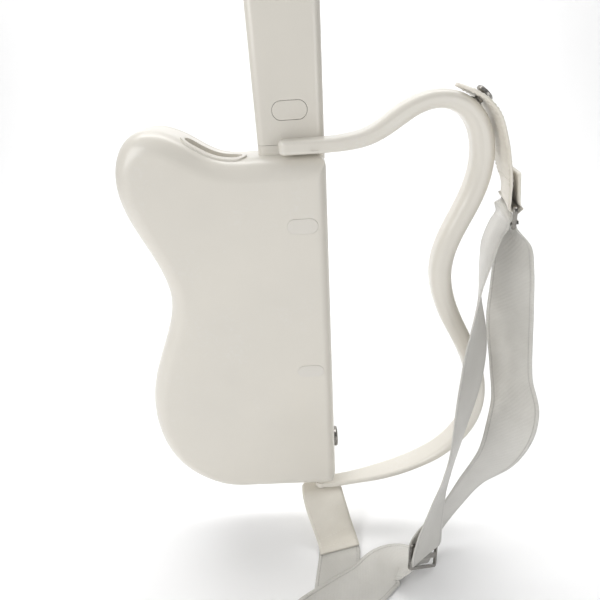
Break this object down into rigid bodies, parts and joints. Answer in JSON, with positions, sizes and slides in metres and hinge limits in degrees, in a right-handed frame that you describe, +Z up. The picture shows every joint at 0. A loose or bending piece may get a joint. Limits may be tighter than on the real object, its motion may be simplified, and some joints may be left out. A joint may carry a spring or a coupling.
{
  "type": "electronic travel guitar",
  "caption": "White half-bodied electronic guitar with an open wing frame, a forward-folding neck with chord keys, strum paddles, speaker and a shoulder strap.",
  "frame": {"origin": "on the flat bearing face under the body, below the left half of the neck", "axes": "+Z up the neck, +Y towards the front (keys and paddles), +X to the right seen from the back, where the wing frame is"},
  "size_m": [0.4165, 0.2539, 0.9791],
  "materials": {
    "shell_white": "satin gloss",
    "panel_white": "satin gloss",
    "pad_white": "satin",
    "dark_trim": "matte",
    "seal_rubber": "matte",
    "key_black": "satin",
    "frame_black": "matte",
    "paper_black": "matte",
    "nickel": "satin dark nickel",
    "steel": "bright",
    "iron": "plated",
    "grille_steel": "satin",
    "board": "satin",
    "battery": "satin",
    "contact_grey": "matte",
    "cream_leather": "smooth",
    "webbing": "satin weave"
  },
  "bodies": {
    "guitar": {"back_shell": "shell_white", "wing_frame": "shell_white", "slot_liner": "shell_white", "front_panel": "panel_white", "back_pads": "pad_white", "seam_gasket": "seal_rubber", "paddle_frame": "frame_black", "switch_blocks": "frame_black", "jack_ferrule": "nickel", "strap_button_upper": "nickel", "strap_button_lower": "nickel", "strap_ring": "nickel", "strap_slider": "nickel", "hinge_base": "nickel", "shell_screws": "steel", "wing_screw": "steel", "paddle_pins": "steel", "hinge_pin": "steel", "speaker_basket": "steel", "speaker_magnet": "iron", "speaker_grille": "grille_steel", "main_board": "board", "battery_pack": "battery", "volume_encoder": "contact_grey", "jack_socket": "contact_grey", "strap_end_upper": "cream_leather", "strap_end_lower": "cream_leather", "webbing_front": "webbing", "webbing_rear": "webbing", "webbing_lower": "webbing"},
    "neck": {"neck_shell": "shell_white", "keybed": "dark_trim", "neck_board": "board", "hinge_leaf": "nickel"},
    "volume": {"volume_knob": "dark_trim", "knob_shaft": "steel"},
    "heel_release": {"heel_button": "shell_white"},
    "paddle_lower": {"strum_paddle_lower": "key_black"},
    "paddle_upper": {"strum_paddle_upper": "key_black"},
    "power": {"power_button": "key_black"},
    "mode": {"mode_button": "key_black"},
    "cone": {"speaker_cone": "paper_black"},
    "key_1_1": {"chord_key_1_1": "key_black"},
    "key_1_2": {"chord_key_1_2": "key_black"},
    "key_2_1": {"chord_key_2_1": "key_black"},
    "key_2_2": {"chord_key_2_2": "key_black"},
    "key_3_1": {"chord_key_3_1": "key_black"},
    "key_3_2": {"chord_key_3_2": "key_black"},
    "key_4_1": {"chord_key_4_1": "key_black"},
    "key_4_2": {"chord_key_4_2": "key_black"},
    "key_5_1": {"chord_key_5_1": "key_black"},
    "key_5_2": {"chord_key_5_2": "key_black"},
    "key_6_1": {"chord_key_6_1": "key_black"},
    "key_6_2": {"chord_key_6_2": "key_black"},
    "key_7_1": {"chord_key_7_1": "key_black"},
    "key_7_2": {"chord_key_7_2": "key_black"}
  },
  "joints": [
    {"name": "neck_fold", "type": "hinge", "parent": "guitar", "child": "neck", "pos_m": [0, 0.022, 0.39765], "axis": [-1, 0, 0], "range_deg": [0, 180]},
    {"name": "volume_turn", "type": "hinge", "parent": "guitar", "child": "volume", "pos_m": [-0.096, 0, 0.322], "axis": [0, 1, 0], "continuous": true},
    {"name": "heel_release_press", "type": "slide", "parent": "neck", "child": "heel_release", "axis": [0, 1, 0], "range_m": [0, 0.0016], "stiffness_N_per_m": 900, "springref_m": -0.001},
    {"name": "power_press", "type": "slide", "parent": "guitar", "child": "power", "axis": [0, -1, 0], "range_m": [0, 0.001], "stiffness_N_per_m": 900, "springref_m": -0.001},
    {"name": "mode_press", "type": "slide", "parent": "guitar", "child": "mode", "axis": [0, -1, 0], "range_m": [0, 0.001], "stiffness_N_per_m": 900, "springref_m": -0.001},
    {"name": "cone_travel", "type": "slide", "parent": "guitar", "child": "cone", "axis": [0, 1, 0], "range_m": [-0.0015, 0.0015], "stiffness_N_per_m": 1500},
    {"name": "paddle_lower_rock", "type": "hinge", "parent": "guitar", "child": "paddle_lower", "pos_m": [-0.002, 0.006, 0.15], "axis": [0, 0, 1], "range_deg": [-7, 7], "stiffness_Nm_per_rad": 0.6},
    {"name": "paddle_upper_rock", "type": "hinge", "parent": "guitar", "child": "paddle_upper", "pos_m": [-0.002, 0.006, 0.226], "axis": [0, 0, 1], "range_deg": [-7, 7], "stiffness_Nm_per_rad": 0.6},
    {"name": "key_1_1_press", "type": "slide", "parent": "neck", "child": "key_1_1", "axis": [0, -1, 0], "range_m": [0, 0.0012], "stiffness_N_per_m": 500, "springref_m": -0.001},
    {"name": "key_1_2_press", "type": "slide", "parent": "neck", "child": "key_1_2", "axis": [0, -1, 0], "range_m": [0, 0.0012], "stiffness_N_per_m": 500, "springref_m": -0.001},
    {"name": "key_2_1_press", "type": "slide", "parent": "neck", "child": "key_2_1", "axis": [0, -1, 0], "range_m": [0, 0.0012], "stiffness_N_per_m": 500, "springref_m": -0.001},
    {"name": "key_2_2_press", "type": "slide", "parent": "neck", "child": "key_2_2", "axis": [0, -1, 0], "range_m": [0, 0.0012], "stiffness_N_per_m": 500, "springref_m": -0.001},
    {"name": "key_3_1_press", "type": "slide", "parent": "neck", "child": "key_3_1", "axis": [0, -1, 0], "range_m": [0, 0.0012], "stiffness_N_per_m": 500, "springref_m": -0.001},
    {"name": "key_3_2_press", "type": "slide", "parent": "neck", "child": "key_3_2", "axis": [0, -1, 0], "range_m": [0, 0.0012], "stiffness_N_per_m": 500, "springref_m": -0.001},
    {"name": "key_4_1_press", "type": "slide", "parent": "neck", "child": "key_4_1", "axis": [0, -1, 0], "range_m": [0, 0.0012], "stiffness_N_per_m": 500, "springref_m": -0.001},
    {"name": "key_4_2_press", "type": "slide", "parent": "neck", "child": "key_4_2", "axis": [0, -1, 0], "range_m": [0, 0.0012], "stiffness_N_per_m": 500, "springref_m": -0.001},
    {"name": "key_5_1_press", "type": "slide", "parent": "neck", "child": "key_5_1", "axis": [0, -1, 0], "range_m": [0, 0.0012], "stiffness_N_per_m": 500, "springref_m": -0.001},
    {"name": "key_5_2_press", "type": "slide", "parent": "neck", "child": "key_5_2", "axis": [0, -1, 0], "range_m": [0, 0.0012], "stiffness_N_per_m": 500, "springref_m": -0.001},
    {"name": "key_6_1_press", "type": "slide", "parent": "neck", "child": "key_6_1", "axis": [0, -1, 0], "range_m": [0, 0.0012], "stiffness_N_per_m": 500, "springref_m": -0.001},
    {"name": "key_6_2_press", "type": "slide", "parent": "neck", "child": "key_6_2", "axis": [0, -1, 0], "range_m": [0, 0.0012], "stiffness_N_per_m": 500, "springref_m": -0.001},
    {"name": "key_7_1_press", "type": "slide", "parent": "neck", "child": "key_7_1", "axis": [0, -1, 0], "range_m": [0, 0.0012], "stiffness_N_per_m": 500, "springref_m": -0.001},
    {"name": "key_7_2_press", "type": "slide", "parent": "neck", "child": "key_7_2", "axis": [0, -1, 0], "range_m": [0, 0.0012], "stiffness_N_per_m": 500, "springref_m": -0.001}
  ]
}
